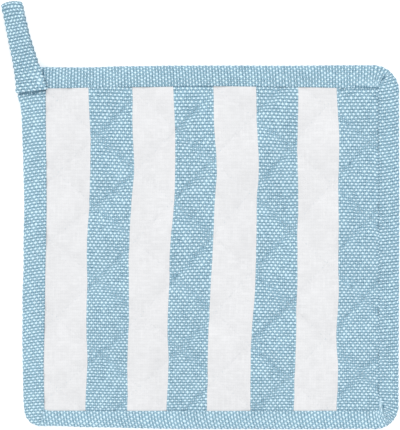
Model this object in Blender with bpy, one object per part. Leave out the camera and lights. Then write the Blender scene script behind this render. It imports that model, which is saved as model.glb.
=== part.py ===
"""A quilted square pot holder that lies flat on its back, with a hanging loop at its upper left corner.

Metres, +Z up. Seen from above, +X is the holder's right and +Y its top. The origin is the middle of
its box, on the surface that it lies on. Sizes are in millimetres, and MM turns them into metres.
"""

import math
from collections import namedtuple

import bmesh
import bpy
import numpy as np

MM = 0.001
GAP = 0.3  # between pieces that touch

# The holder's flat shape. Sides run clockwise from the upper left corner: top, right, bottom, left.
Corner = namedtuple("Corner", "x y radius")
Bend = namedtuple("Bend", "along outward")
OUTER_CORNERS = (
    Corner(-98.5, 79.8, 7.5),
    Corner(107.5, 81.1, 13.5),
    Corner(107.3, -115.7, 14.0),
    Corner(-94.8, -113.6, 11.0),
)
OUTER_BENDS = (
    (Bend(0.17, -0.35), Bend(0.38, 0.4), Bend(0.58, 0.25), Bend(0.74, 0.0)),
    (Bend(0.45, 0.15),),
    (Bend(0.3, 0.55), Bend(0.6, 0.9), Bend(0.86, 0.35)),
    (Bend(0.2, 0.25), Bend(0.32, -0.2), Bend(0.47, -1.3), Bend(0.64, -2.2), Bend(0.8, -2.1), Bend(0.93, 0.0)),
)
INNER_CORNERS = (
    Corner(-82.4, 68.5, 1.5),
    Corner(96.3, 68.8, 1.5),
    Corner(96.6, -104.9, 1.5),
    Corner(-83.4, -104.9, 1.5),
)
INNER_BENDS = (
    (Bend(0.25, 0.6), Bend(0.75, 0.8)),
    (Bend(0.5, 0.3),),
    (Bend(0.5, 0.1),),
    (Bend(0.12, 0.4), Bend(0.35, -0.1), Bend(0.62, -0.65)),
)
SIDE_STEPS = 16
CORNER_STEPS = 6

# The binding's section, in heights over the surface that it lies on
BINDING_THICK = 4.0
BINDING_PLY = 0.9
BINDING_MIDDLE = BINDING_THICK / 2
FoldPoint = namedtuple("FoldPoint", "edge inset height")
BINDING_FACE = (
    FoldPoint("inner", 0.0, BINDING_THICK - BINDING_PLY),
    FoldPoint("inner", 0.0, 3.55),
    FoldPoint("inner", 0.5, 3.9),
    FoldPoint("inner", 1.6, 3.7),
    FoldPoint("inner", 3.4, BINDING_THICK),
    FoldPoint("outer", 2.4, BINDING_THICK),
    FoldPoint("outer", 0.9, 3.65),
    FoldPoint("outer", 0.2, 2.9),
    FoldPoint("outer", 0.0, BINDING_MIDDLE),
)
BINDING_POCKET = (
    FoldPoint("outer", 1.2, 2.6),
    FoldPoint("outer", 1.5, BINDING_THICK - BINDING_PLY),
)

# The quilting. Each row is one seam: its height in the flat shape, in mm, at five places across it.
Seam = namedtuple("Seam", "far_left left middle right far_right")
SEAM_X = (-90.0, -45.0, 0.0, 45.0, 90.0)
RISING_SEAMS = (
    Seam(92.5, 140.0, 187.0, 234.5, 281.5),
    Seam(48.5, 96.0, 143.0, 190.5, 237.5),
    Seam(10.5, 54.0, 100.5, 147.5, 195.0),
    Seam(-20.0, 15.0, 59.5, 108.0, 155.5),
    Seam(-66.5, -24.0, 23.5, 70.5, 117.0),
    Seam(-105.5, -66.5, -19.0, 33.0, 83.0),
    Seam(-146.5, -104.5, -61.0, -12.0, 38.0),
    Seam(-190.0, -142.5, -97.0, -51.0, -2.5),
    Seam(-222.5, -175.5, -128.0, -90.0, -43.0),
    Seam(-270.0, -223.0, -175.5, -128.5, -82.5),
    Seam(-310.5, -263.5, -216.0, -169.0, -121.5),
    Seam(-354.5, -307.5, -260.0, -213.0, -165.5),
)
FALLING_SEAMS = (
    Seam(274.5, 236.0, 197.5, 158.5, 121.0),
    Seam(234.5, 196.0, 157.5, 118.5, 81.0),
    Seam(194.5, 156.0, 117.5, 78.5, 41.0),
    Seam(153.0, 114.5, 76.0, 40.5, 0.0),
    Seam(114.0, 75.5, 35.0, -4.0, -46.0),
    Seam(73.5, 33.5, -5.5, -45.0, -88.0),
    Seam(33.5, -5.0, -45.5, -86.0, -125.0),
    Seam(-6.0, -43.5, -81.0, -119.5, -158.0),
    Seam(-45.5, -82.5, -121.5, -160.5, -199.0),
    Seam(-82.5, -121.0, -160.0, -198.5, -237.0),
    Seam(-124.0, -162.5, -201.5, -240.0, -278.5),
)
SEAM_SEARCH_X = 600.0  # seams cross within this distance of the middle
SEAM_SEARCH_STEPS = 44
CELL_STEPS = (0.0, 0.12, 0.36, 0.64, 0.88)  # places across a diamond, the next seam being at 1
SEAM_TOP = 3.0
SEAM_BOTTOM = 1.0
CROWN_TOP = 2.2
CROWN_BOTTOM = 1.2  # a little more than the room there is, so that the diamonds lie flat
CROWN_POWER = 2.4
PUFF_SPREAD = 0.1  # how unlike the diamonds' crowns are
PUFF_TURNS = (2.1, 1.3)  # radians from one diamond to the next, which spread that unevenly

# How the sewn binding squeezes the pad: rings inside the binding's inner edge, with the room above and below
Squeeze = namedtuple("Squeeze", "inset height")
PAD_EDGE_INSET = 1.6  # from the binding's outer edge
PAD_EDGE_TOP = BINDING_THICK - BINDING_PLY - GAP
PAD_EDGE_BOTTOM = BINDING_PLY + GAP
SQUEEZE_TOP = (
    Squeeze(0.4, PAD_EDGE_TOP),
    Squeeze(1.6, 3.6),
    Squeeze(4.5, 4.7),
    Squeeze(9.0, 5.7),
    Squeeze(12.0, 12.0),
)
SQUEEZE_BOTTOM = (
    Squeeze(0.4, PAD_EDGE_BOTTOM),
    Squeeze(2.5, 0.3),
    Squeeze(4.5, -1.5),
    Squeeze(12.0, -6.0),
)

# The hanging loop: a folded strip. Its front leg's rows start at the turned-under end, and its back
# leg's at the fold.
TAPE_THICK = 1.4
LOOP_FOLD = (-101.8, 114.6)  # the middle of the fold, at its far edge
LOOP_LEAN = math.radians(12.5)  # from straight up, to the left
# down is the distance from the fold, rise how much thicker the outer side is, and slant how much further
# down the strip's right side lies for each millimetre across.
TapeRow = namedtuple("TapeRow", "down left right rise slant")
FRONT_LEG = (
    TapeRow(49.2, 7.4, 8.8, -0.5, 0.085),
    TapeRow(48.8, 7.8, 9.2, 0.35, 0.085),
    TapeRow(48.0, 7.8, 9.2, 0.6, 0.085),
    TapeRow(43.1, 6.7, 8.7, 0.5, 0.05),
    TapeRow(40.6, 6.3, 8.5, 0.1, 0.03),
    TapeRow(38.4, 5.9, 8.4, 0.0, 0.0),
    TapeRow(35.2, 5.7, 7.7, 0.0, 0.0),
    TapeRow(27.1, 5.5, 7.0, 0.0, 0.0),
    TapeRow(19.0, 5.5, 6.6, 0.0, 0.0),
    TapeRow(10.6, 5.8, 6.2, 0.0, 0.0),
    TapeRow(6.0, 6.0, 6.2, 0.0, 0.0),
)
BACK_LEG = (
    TapeRow(6.0, 5.9, 6.4, 0.0, 0.0),
    TapeRow(19.0, 5.2, 7.1, 0.0, 0.0),
    TapeRow(35.2, 5.4, 8.0, 0.0, 0.0),
    TapeRow(45.8, 7.0, 8.4, 0.0, 0.0),
    TapeRow(46.6, 6.8, 8.2, -0.4, 0.0),
)
FOLD_HALF_WIDTH = 6.2
FOLD_STEPS = 8
LEG_DROP = TAPE_THICK + GAP + BINDING_THICK + GAP + TAPE_THICK  # from the top of the front leg to the surface
TAPE_EDGE_ROUND = 0.35

# The corner of the holder lies on the loop's back leg
LIFT = TAPE_THICK + GAP
LIFT_CENTRE = (-91.0, 73.4)
LIFT_FLAT_RADIUS = 14.0
LIFT_FADE = 34.0

SKY_BLUE = (0.36, 0.56, 0.67, 1.0)
PALE_BLUE = (0.62, 0.74, 0.80, 1.0)
COTTON_ROUGHNESS = 0.9
CREASE_ANGLE = math.radians(40.0)  # sharper edges stay sharp when the cloth is shaded smooth


def smooth_step(share):
    """Ease from 0 to 1."""
    share = np.clip(share, 0.0, 1.0)
    return share * share * (3.0 - 2.0 * share)


def bend_at(bends, along):
    """How far a side stands out at a share of its length, eased between the rows and 0 at both ends."""
    rows = (Bend(0.0, 0.0), *bends, Bend(1.0, 0.0))
    for before, after in zip(rows, rows[1:]):
        if along <= after.along:
            share = smooth_step((along - before.along) / (after.along - before.along))
            return before.outward + (after.outward - before.outward) * float(share)
    return 0.0


def side_frame(start, end):
    """A side's unit direction and its unit normal, which points out of a clockwise outline."""
    direction = np.array([end.x - start.x, end.y - start.y])
    direction = direction / np.linalg.norm(direction)
    return direction, np.array([-direction[1], direction[0]])


def ring_points(corners, bends, inset=0.0):
    """An outline with round corners as an array of points, with as many points whatever the corners are."""
    frames = [side_frame(corner, corners[(k + 1) % 4]) for k, corner in enumerate(corners)]
    points = []
    for k, start in enumerate(corners):
        end = corners[(k + 1) % 4]
        direction, normal = frames[k]
        previous_normal = frames[k - 1][1]
        next_normal = frames[(k + 1) % 4][1]
        first = np.array([start.x, start.y]) - (normal + previous_normal) * inset + direction * start.radius
        centre = np.array([end.x, end.y]) - (normal + next_normal) * (inset + end.radius)
        last = centre + normal * end.radius
        for step in range(SIDE_STEPS + 1):
            along = step / SIDE_STEPS
            points.append(first + (last - first) * along + normal * bend_at(bends[k], along))
        for step in range(1, CORNER_STEPS):
            angle = 0.5 * math.pi * step / CORNER_STEPS
            points.append(centre + end.radius * (normal * math.cos(angle) + next_normal * math.sin(angle)))
    return np.array(points)


def at_height(points, height):
    """Flat points as 3-D points at one height."""
    return np.column_stack([points, np.full(len(points), height)])


def lift_points(points):
    """Raise points near the loop's corner, which lies on the loop's back leg."""
    away = np.hypot(points[:, 0] - LIFT_CENTRE[0], points[:, 1] - LIFT_CENTRE[1])
    lifted = points.copy()
    lifted[:, 2] += LIFT * (1.0 - smooth_step((away - LIFT_FLAT_RADIUS) / LIFT_FADE))
    return lifted


def fabric_material(name, colour):
    """Plain matt cotton."""
    material = bpy.data.materials.new(name)
    material.use_nodes = True
    shader = material.node_tree.nodes["Principled BSDF"]
    shader.inputs["Base Color"].default_value = colour
    shader.inputs["Roughness"].default_value = COTTON_ROUGHNESS
    shader.inputs["Metallic"].default_value = 0.0
    return material


def shade_cloth(mesh):
    """Shade a mesh smooth but for its creases."""
    mesh.shade_smooth()
    mesh.set_sharp_from_angle(angle=CREASE_ANGLE)


def finished_object(name, work, collection):
    """Turn a closed bmesh into an object whose faces point out."""
    bmesh.ops.recalc_face_normals(work, faces=work.faces)
    mesh = bpy.data.meshes.new(name)
    work.to_mesh(mesh)
    work.free()
    shade_cloth(mesh)
    item = bpy.data.objects.new(name, mesh)
    collection.objects.link(item)
    return item


def mesh_object(name, rings, collection, closed_round=False):
    """Loft closed rings of points, given in millimetres, into one closed mesh.

    The rings join first to last where closed_round is true, and otherwise a cap closes each end."""
    work = bmesh.new()
    rows = [[work.verts.new(np.asarray(point) * MM) for point in ring] for ring in rings]
    joined = rows[1:] + rows[:1] if closed_round else rows[1:]
    for near, far in zip(rows, joined):
        for k in range(len(near)):
            after = (k + 1) % len(near)
            work.faces.new((near[k], near[after], far[after], far[k]))
    if not closed_round:
        work.faces.new(rows[0])
        work.faces.new(rows[-1])
    return finished_object(name, work, collection)


def seam_line(seams, number, x):
    """Heights of the seams with these numbers, which may lie between two rows, at places across the holder.

    A seam goes straight on past its first and last place."""
    table = np.array(seams)
    low = np.minimum(number.astype(int), len(seams) - 2)
    share = number - low
    across = np.clip(np.searchsorted(SEAM_X, x) - 1, 0, len(SEAM_X) - 2)
    stations = np.array(SEAM_X)
    along = (x - stations[across]) / (stations[across + 1] - stations[across])
    heights = []
    for row in (low, low + 1):
        start = table[row, across]
        heights.append(start + (table[row, across + 1] - start) * along)
    return heights[0] + (heights[1] - heights[0]) * share


def seam_crossings(rising, falling):
    """Where each rising seam number meets each falling one: two grids, of x and of y."""
    rise, fall = np.meshgrid(rising, falling, indexing="ij")
    low = np.full(rise.shape, -SEAM_SEARCH_X)
    high = np.full(rise.shape, SEAM_SEARCH_X)
    for _ in range(SEAM_SEARCH_STEPS):
        middle = (low + high) / 2
        past = seam_line(RISING_SEAMS, rise, middle) > seam_line(FALLING_SEAMS, fall, middle)
        high = np.where(past, middle, high)
        low = np.where(past, low, middle)
    middle = (low + high) / 2
    return middle, seam_line(RISING_SEAMS, rise, middle)


def lattice_numbers(seams):
    """Seam numbers of the lattice's rows: each seam, and the steps between it and the next."""
    last = len(seams) - 1
    return np.array([row + step for row in range(last) for step in CELL_STEPS] + [last])


def crown(numbers):
    """How high the filling stands between two seams, from 0 on a seam to 1 halfway."""
    return 1.0 - np.abs(2.0 * (numbers % 1.0) - 1.0) ** CROWN_POWER


def quilted_sheets():
    """The top and bottom of the quilting over its whole lattice: x, y and the two heights, as grids."""
    rising = lattice_numbers(RISING_SEAMS)
    falling = lattice_numbers(FALLING_SEAMS)
    x, y = seam_crossings(rising, falling)
    rise, fall = np.meshgrid(rising, falling, indexing="ij")
    puff = 1.0 + PUFF_SPREAD * np.sin(PUFF_TURNS[0] * np.floor(rise) + PUFF_TURNS[1] * np.floor(fall))
    filling = crown(rise) * crown(fall) * puff
    top = SEAM_TOP + CROWN_TOP * filling
    bottom = np.maximum(0.0, SEAM_BOTTOM - CROWN_BOTTOM * filling)
    return x, y, top, bottom


def split_square(work, sheet, i, j):
    """Two triangles for one square of the lattice, parted from its diamond's nearest corner to the crown."""
    corners = (sheet[i][j], sheet[i + 1][j], sheet[i + 1][j + 1], sheet[i][j + 1])
    steps = len(CELL_STEPS)
    near_start = 2 * (i % steps) < steps
    if near_start != (2 * (j % steps) < steps):
        corners = corners[1:] + corners[:1]
    work.faces.new((corners[0], corners[1], corners[2]))
    work.faces.new((corners[0], corners[2], corners[3]))


def lattice_object(name, collection):
    """The quilting as a closed slab, wider than the holder on every side."""
    x, y, top, bottom = quilted_sheets()
    rows, columns = x.shape
    work = bmesh.new()
    sheets = []
    for height in (top, bottom):
        points = np.dstack([x, y, height]) * MM
        sheets.append([[work.verts.new(points[i, j]) for j in range(columns)] for i in range(rows)])
    for sheet in sheets:
        for i in range(rows - 1):
            for j in range(columns - 1):
                split_square(work, sheet, i, j)
    above, below = sheets
    rim = [(i, 0) for i in range(rows)] + [(rows - 1, j) for j in range(1, columns)]
    rim += [(i, columns - 1) for i in range(rows - 2, -1, -1)] + [(0, j) for j in range(columns - 2, 0, -1)]
    for (i, j), (k, m) in zip(rim, rim[1:] + rim[:1]):
        work.faces.new((above[i][j], above[k][m], below[k][m], below[i][j]))
    return finished_object(name, work, collection)


def room_for_pad(collection):
    """The space that the sewn binding leaves the pad: thin in the fold and opening inside it, as a cutter."""
    outer = ring_points(OUTER_CORNERS, OUTER_BENDS)
    inner = ring_points(INNER_CORNERS, INNER_BENDS)
    inward = (inner - outer) / np.linalg.norm(inner - outer, axis=1)[:, None]
    edge = outer + inward * PAD_EDGE_INSET
    above, below = [
        [at_height(ring_points(INNER_CORNERS, INNER_BENDS, row.inset), row.height) for row in squeeze]
        for squeeze in (SQUEEZE_TOP, SQUEEZE_BOTTOM)
    ]
    edge_rings = [at_height(edge, PAD_EDGE_TOP), at_height(edge, PAD_EDGE_BOTTOM)]
    cutter = mesh_object("room_for_pad", above[::-1] + edge_rings + below, collection)
    cutter.hide_render = True
    cutter.display_type = "WIRE"
    return cutter


def applied(item):
    """Replace an object's mesh with the one that its modifiers make, and remove the modifiers."""
    finished = bpy.data.meshes.new_from_object(item.evaluated_get(bpy.context.evaluated_depsgraph_get()))
    shade_cloth(finished)
    item.modifiers.clear()
    item.data = finished


def quilted_pad(collection, cutters):
    """The filled and quilted cloth, thin where the binding holds it, lifted at the loop's corner."""
    pad = lattice_object("quilted_pad", collection)
    cut = pad.modifiers.new("edge in the binding", "BOOLEAN")
    cut.operation = "INTERSECT"
    cut.solver = "EXACT"
    cut.object = room_for_pad(cutters)
    applied(pad)
    vertices = np.array([vertex.co for vertex in pad.data.vertices]) / MM
    for vertex, place in zip(pad.data.vertices, lift_points(vertices)):
        vertex.co = place * MM
    pad.data.materials.append(fabric_material("quilted cotton", PALE_BLUE))


def binding_section():
    """The fold points of the binding once round its section: over the top, under, and back in its pocket."""
    underside = [point._replace(height=BINDING_THICK - point.height) for point in reversed(BINDING_FACE[:-1])]
    pocket_floor = [point._replace(height=BINDING_THICK - point.height) for point in reversed(BINDING_POCKET)]
    return [*BINDING_FACE, *underside, *pocket_floor, *BINDING_POCKET]


def binding(collection):
    """One strip folded over the pad's edge, all the way round."""
    outer = ring_points(OUTER_CORNERS, OUTER_BENDS)
    inner = ring_points(INNER_CORNERS, INNER_BENDS)
    rings = []
    for out_point, in_point in zip(outer, inner):
        inward = (in_point - out_point) / np.linalg.norm(in_point - out_point)
        section = []
        for point in binding_section():
            start, way = (out_point, inward) if point.edge == "outer" else (in_point, -inward)
            section.append((*(start + way * point.inset), point.height))
        rings.append(lift_points(np.array(section)))
    strip = mesh_object("binding", rings, collection, closed_round=True)
    strip.data.materials.append(fabric_material("binding cotton", SKY_BLUE))


def tape_section(row, level, facing):
    """A cross-section of the tape at its row, round its edges.

    Its outer side faces out by the angle facing: 0 is up and half a turn is down."""
    half = TAPE_THICK / 2
    corners = (
        (-row.left, -half + TAPE_EDGE_ROUND),
        (-row.left, half - TAPE_EDGE_ROUND + row.rise),
        (-row.left + TAPE_EDGE_ROUND, half + row.rise),
        (row.right - TAPE_EDGE_ROUND, half + row.rise),
        (row.right, half - TAPE_EDGE_ROUND + row.rise),
        (row.right, -half + TAPE_EDGE_ROUND),
        (row.right - TAPE_EDGE_ROUND, -half),
        (-row.left + TAPE_EDGE_ROUND, -half),
    )
    down_way = np.array([math.sin(LOOP_LEAN), -math.cos(LOOP_LEAN)])
    right_way = np.array([math.cos(LOOP_LEAN), math.sin(LOOP_LEAN)])
    section = []
    for across, out in corners:
        down = row.down + row.slant * across - out * math.sin(facing)
        place = np.array(LOOP_FOLD) + down_way * down + right_way * across
        section.append((*place, level + out * math.cos(facing)))
    return section


def hanging_loop(collection):
    """A strip that is sewn over the corner, runs out, folds back and ends under the corner."""
    radius = (LEG_DROP - TAPE_THICK) / 2
    middle_level = LEG_DROP / 2
    rings = [tape_section(row, middle_level + radius, 0.0) for row in FRONT_LEG]
    for step in range(FOLD_STEPS + 1):
        facing = math.pi * step / FOLD_STEPS
        down = LEG_DROP / 2 - radius * math.sin(facing)
        row = TapeRow(down, FOLD_HALF_WIDTH, FOLD_HALF_WIDTH, 0.0, 0.0)
        rings.append(tape_section(row, middle_level + radius * math.cos(facing), facing))
    rings += [tape_section(row, middle_level - radius, math.pi) for row in BACK_LEG]
    strip = mesh_object("hanging_loop", rings, collection)
    strip.data.materials.append(fabric_material("loop cotton", SKY_BLUE))


def main():
    """Build the pot holder in an empty scene."""
    for item in list(bpy.data.objects):
        bpy.data.objects.remove(item)
    holder = bpy.data.collections.new("pot_holder")
    cutters = bpy.data.collections.new("cutters")
    for collection in (holder, cutters):
        bpy.context.scene.collection.children.link(collection)
    quilted_pad(holder, cutters)
    binding(holder)
    hanging_loop(holder)


main()
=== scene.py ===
"""The look of a quilted square pot holder: striped plain weave, a folded woven binding and a hanging loop.

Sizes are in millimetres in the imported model's frame, and MM turns them into metres. Seen from above, +X is
the holder's right and +Y its top, and it lies on z = 0."""

import math
from collections import namedtuple

import bpy
import numpy as np
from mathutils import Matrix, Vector


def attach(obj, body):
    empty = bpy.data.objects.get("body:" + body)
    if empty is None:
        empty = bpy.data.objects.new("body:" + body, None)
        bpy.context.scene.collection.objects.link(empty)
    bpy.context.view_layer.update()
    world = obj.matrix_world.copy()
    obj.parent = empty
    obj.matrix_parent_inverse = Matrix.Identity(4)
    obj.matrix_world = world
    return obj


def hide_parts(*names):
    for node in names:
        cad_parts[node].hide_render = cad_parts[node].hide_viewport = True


MM = 0.001
BODY = "root"
GAP = 0.3  # between pieces that touch
TINY = 1e-9

# The holder's flat shape. Sides run clockwise from the upper left corner: top, right, bottom, left. Each bend
# is a share of a side's length and how far the side stands out there.
Corner = namedtuple("Corner", "x y radius")
OUTER_CORNERS = (
    Corner(-98.7, 80.15, 7.5),
    Corner(107.8, 81.35, 14.2),
    Corner(107.4, -115.8, 12.6),
    Corner(-95.1, -114.35, 9.2),
)
OUTER_BENDS = (
    ((0.15, -0.35), (0.28, 0.25), (0.4, 0.4), (0.58, 0.25), (0.74, 0.0)),
    ((0.45, 0.3),),
    ((0.3, 0.55), (0.6, 0.9), (0.86, 0.35), (0.96, -0.15)),
    ((0.04, 0.25), (0.2, 0.25), (0.32, -0.2), (0.47, -1.3), (0.64, -2.2),
     (0.83, -1.95), (0.89, -1.85), (0.92, -1.4), (0.955, 0.1)),
)
INNER_CORNERS = (
    Corner(-83.2, 68.5, 1.5),
    Corner(96.3, 68.4, 1.5),
    Corner(96.6, -105.6, 1.5),
    Corner(-84.2, -105.6, 3.2),
)
INNER_BENDS = (
    ((0.25, 0.8), (0.52, 1.3), (0.75, 0.85)),
    ((0.5, 0.3),),
    ((0.5, 0.1),),
    ((0.12, 0.4), (0.35, -0.1), (0.62, -0.65)),
)

# The binding's section, from its inner edge over the top to the middle of its outer edge
BINDING_THICK = 4.0
BINDING_PLY = 0.9
BINDING_WIDTH = 12.0  # nominal, and the middle of the section stretches to the real width
BINDING_TOP = (  # how far each point lies from the inner edge, and its height
    (0.0, BINDING_THICK - BINDING_PLY), (-0.05, 3.5), (0.4, 3.9), (1.6, 3.7), (3.2, 4.0),
    (6.5, 3.95), (9.8, 3.98), (11.1, 3.65), (11.8, 2.9), (12.0, 2.0),
)
POCKET_ACROSS = (10.8, 10.5)
POCKET_HEIGHT = (2.6, BINDING_THICK - BINDING_PLY)
FIXED_INSIDE = 3.4  # this much of the section at the inner edge keeps its shape at any width
FIXED_OUTSIDE = 2.4
BINDING_SIDE_STEPS = 432
BINDING_CORNER_STEPS = 36
UNDERSIDE_STEPS = 14

# The binding's wefts run across it. Along a side their pitch goes from `pitch` to `end_pitch`, and they slope
# back by `slants` at five even places. They fan out from `start_fan` and `end_fan` mm before its corners.
# `press` is how far they sink among the warps, `shade` how dark the side is, and `crease` how
# much shade is painted at its inner edge, where the pad meets it.
SideWeave = namedtuple("SideWeave", "pitch end_pitch slants start_fan end_fan press shade crease")
BINDING_WEAVE = (
    SideWeave(1.72, 1.55, (-0.07, 0.04, 0.07, 0.07, -0.05), -3.0, 2.5, 0.35, -0.03, 0.25),
    SideWeave(1.72, 1.58, (0.18, 0.17, 0.1, 0.1, -0.06), -3.5, 3.0, 0.2, 0.0, 0.1),
    SideWeave(1.69, 1.62, (0.15, 0.25, 0.25, 0.27, 0.2), 1.0, -4.0, 0.2, -0.13, -0.1),
    SideWeave(1.54, 1.73, (0.08, 0.15, 0.15, 0.15, 0.15), -9.0, -4.0, 0.15, -0.07, 0.3),
)
STRAIGHT_SLANT = 0.35  # the share of the slant that is there at the inner edge already
FAN_MIDDLE = 7.0  # how far out the wefts keep their pitch where they fan out
FAN_DEPTH = 2.35  # how far inside the binding's inner edge the fan starts
FAN_INSIDE = 4.5  # the wefts are no closer together than they are here
FAN_BLEND = 1.2
# Painted shade along the binding's inner edge, where it meets the pad, and along its outer rim, where the
# fold turns away from the light
INNER_EDGE_SHADE_WIDTH = 0.4
RIM_PAINTED_SHADE = 0.15  # how much shade is painted on the outer edge
RIM_SHADE_WIDTH = 0.6
RIM_BEADS = 0.15  # how far the wefts bulge out over the binding's outer edge
BEAD_REACH = 1.2

# Where one side's weave ends at a corner and the next one's begins, from the inner edge to the outer one. The
# warps turn the corner with the outline where `straight` is 0, and run straight into the mitre where it is 1.
Mitre = namedtuple("Mitre", "x0 y0 x1 y1 straight")
MITRES = (
    Mitre(96.3, 68.4, 101.9, 77.8, 0.3),
    Mitre(98.4, -104.0, 101.8, -114.0, 0.3),
    Mitre(-84.4, -104.0, -86.2, -114.0, 1.0),
    Mitre(-83.2, 68.5, -98.85, 80.3, 0.0),
)
MITRE_REACH = 40.0

# Small tucks in the binding, each along a line: at its corners, beside the loop and under the loop's end.
# Each is pressed in by its depth and has painted shade along it by its shade; beside and under the loop that
# shade is the loop's painted shadow. One with a depth and a shade below 0 is raised and pale.
Tuck = namedtuple("Tuck", "x0 y0 x1 y1 width depth shade")
TUCKS = (
    Tuck(96.3, 68.6, 98.4, 73.2, 0.45, 0.15, 0.2),
    Tuck(98.4, 73.3, 99.9, 74.4, 0.4, 0.5, 1.0),
    Tuck(98.8, -99.3, 99.0, -106.6, 0.5, 0.25, 0.65),
    Tuck(97.6, -100.5, 97.4, -102.3, 1.05, -0.2, -1.2),
    Tuck(84.0, 69.6, 96.3, 68.9, 0.38, 0.1, 1.1),
    Tuck(-84.6, -104.8, -86.0, -111.0, 0.5, 0.15, 0.2),
    Tuck(-85.4, 79.0, -84.2, 73.0, 0.5, 0.2, 0.6),
    Tuck(-84.2, 73.0, -82.7, 68.8, 0.45, 0.2, 0.6),
    Tuck(-98.7, 65.2, -90.0, 65.8, 0.5, 0.4, 0.7),
    Tuck(-90.0, 65.8, -83.6, 67.6, 0.5, 0.4, 0.7),
)
Pressed = namedtuple("Pressed", "x0 y0 x1 y1 width")
PRESSED = (  # where the binding is pressed flat, which makes it paler by PRESSED_LIGHT
    Pressed(86.4, 70.9, 95.0, 70.6, 1.6),
    Pressed(95.5, -106.3, 98.2, -106.1, 1.3),
)
PRESSED_LIGHT = 0.5
LOOP_PALE = Pressed(-87.2, 74.9, -86.0, 70.6, 1.5)
LOOP_PALE_LIGHT = 0.3

# The quilting. Each row is one seam: its height in the flat shape at the places SEAM_X. The first and last
# rows lie outside the pad, so that every place in it has a seam above and below.
SEAM_X = (-90.0, -45.0, 0.0, 45.0, 90.0)
RISING_SEAMS = (
    (92.5, 140.0, 187.0, 234.5, 281.5),
    (48.5, 96.0, 143.0, 190.5, 237.5),
    (10.5, 54.0, 100.5, 147.5, 195.0),
    (-20.0, 15.0, 59.5, 108.0, 155.5),
    (-66.5, -24.0, 23.5, 70.5, 117.0),
    (-105.5, -66.5, -19.0, 33.0, 83.0),
    (-146.5, -104.5, -61.0, -12.0, 38.0),
    (-190.0, -142.5, -97.0, -51.0, -2.5),
    (-222.5, -175.5, -128.0, -90.0, -43.0),
    (-270.0, -223.0, -175.5, -128.5, -82.5),
    (-310.5, -263.5, -216.0, -169.0, -121.5),
)
FALLING_SEAMS = (
    (274.5, 236.0, 197.5, 158.5, 121.0),
    (234.5, 196.0, 157.5, 118.5, 81.0),
    (194.5, 156.0, 117.5, 78.5, 41.0),
    (153.0, 114.5, 76.0, 40.5, 0.0),
    (114.0, 75.5, 35.0, -4.0, -46.0),
    (73.5, 33.5, -5.5, -45.0, -88.0),
    (33.5, -5.0, -45.5, -86.0, -125.0),
    (-6.0, -43.5, -81.0, -119.5, -158.0),
    (-45.5, -82.5, -121.5, -160.5, -199.0),
    (-82.5, -121.0, -160.0, -198.5, -237.0),
    (-124.0, -162.5, -201.5, -240.0, -278.5),
)
SEAM_SPACING = 31.0  # about, from one seam to the next, square to them
SEAM_TOP = 3.0  # the pad's heights at the seams, and how far the crowns stand out from them
SEAM_BOTTOM = 1.0
CROWN_TOP = 2.2
CROWN_BOTTOM = 1.2
CROWN_POWER = 2.4  # a higher one makes the crowns flatter
PUFF_SPREAD = 0.1  # how unevenly the diamonds are filled
PUFF_TURNS = (2.1, 1.3)
PRESS_REACH = 1.5  # how far from a seam the weave is pressed together
# Painted shade in the seams, stronger along the rising ones because of how the light falls, and in part the
# weave drawn tight there
RISING_SEAM_SHADE = 0.17  # how much shade is painted along the rising seams
FALLING_SEAM_SHADE = 0.08
SEAM_SHADE_REACH = 0.8

# How the sewn binding squeezes the pad, by the distance inside the binding's inner edge
PAD_EDGE_INSET = 1.6  # from the binding's outer edge to the pad's hidden edge
PAD_EDGE_TOP = BINDING_THICK - BINDING_PLY - GAP
PAD_EDGE_BOTTOM = BINDING_PLY + GAP
SQUEEZE_INSETS = (-0.6, -0.05, 0.25, 0.8, 4.5, 9.0, 12.0)
SQUEEZE_TOPS = (PAD_EDGE_TOP, 3.6, 3.85, 4.0, 4.7, 5.7, 12.0)
SQUEEZE_BOTTOM_INSETS = (0.4, 2.5, 4.5)
SQUEEZE_BOTTOMS = (PAD_EDGE_BOTTOM, 0.3, -1.5)
SQUEEZE_BLEND = 0.25  # how softly the quilting turns down to the binding
EDGE_PAINTED_SHADES = (0.25, 0.1, 0.0, 0.2)  # painted shade on the pad beside each side of the binding, in the crevice under its edge
EDGE_SHADE_WIDTH = 0.35

# The striped cloth. Warps are counted from the left and wefts from the bottom of the pad.
STRIPE_EDGES = (  # each row is a height, the cloth's left edge there and the right edge of each stripe
    (69.0, -84.8, -60.2, -36.7, -14.5, 7.3, 30.3, 53.0, 73.8, 98.4),
    (45.8, -84.8, -59.3, -36.4, -13.4, 7.9, 31.0, 52.7, 75.0, 98.4),
    (26.9, -84.8, -59.1, -35.6, -13.3, 9.2, 31.7, 52.7, 75.0, 98.4),
    (5.3, -84.9, -60.0, -37.1, -14.0, 7.8, 30.6, 52.9, 74.8, 98.4),
    (-16.3, -85.0, -61.0, -38.5, -16.0, 7.1, 30.3, 52.5, 74.8, 98.4),
    (-40.6, -85.1, -61.0, -38.4, -16.7, 5.7, 29.8, 52.4, 74.9, 98.4),
    (-62.2, -85.2, -61.2, -38.7, -17.5, 4.6, 28.0, 51.8, 73.8, 98.4),
    (-83.8, -85.3, -61.0, -39.3, -17.1, 4.1, 27.3, 51.2, 74.4, 98.4),
    (-104.3, -85.3, -61.9, -39.4, -18.1, 3.8, 27.3, 50.5, 73.8, 98.4),
)
STRIPE_WARPS = (22, 21, 19, 19, 20, 20, 18, 21)  # in each stripe, white and blue by turns
WEFTS = 112
PAD_BOTTOM_Y = -106.6
WEFT_PITCH = 1.45  # at the bottom, and it grows by WEFT_GROWTH from each weft to the next
WEFT_GROWTH = 0.00246
WARP_PITCH = 1.15
STEPS_PER_THREAD = 2
THREAD_ROUND = 0.9  # how far a thread falls off to its sides
THREAD_WAVE = 0.5  # how far it rises over the next thread and sinks under the one after
GAP_LEVEL = 0.4  # what counts as the bottom of a gap, for a thread that is 1 high
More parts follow.
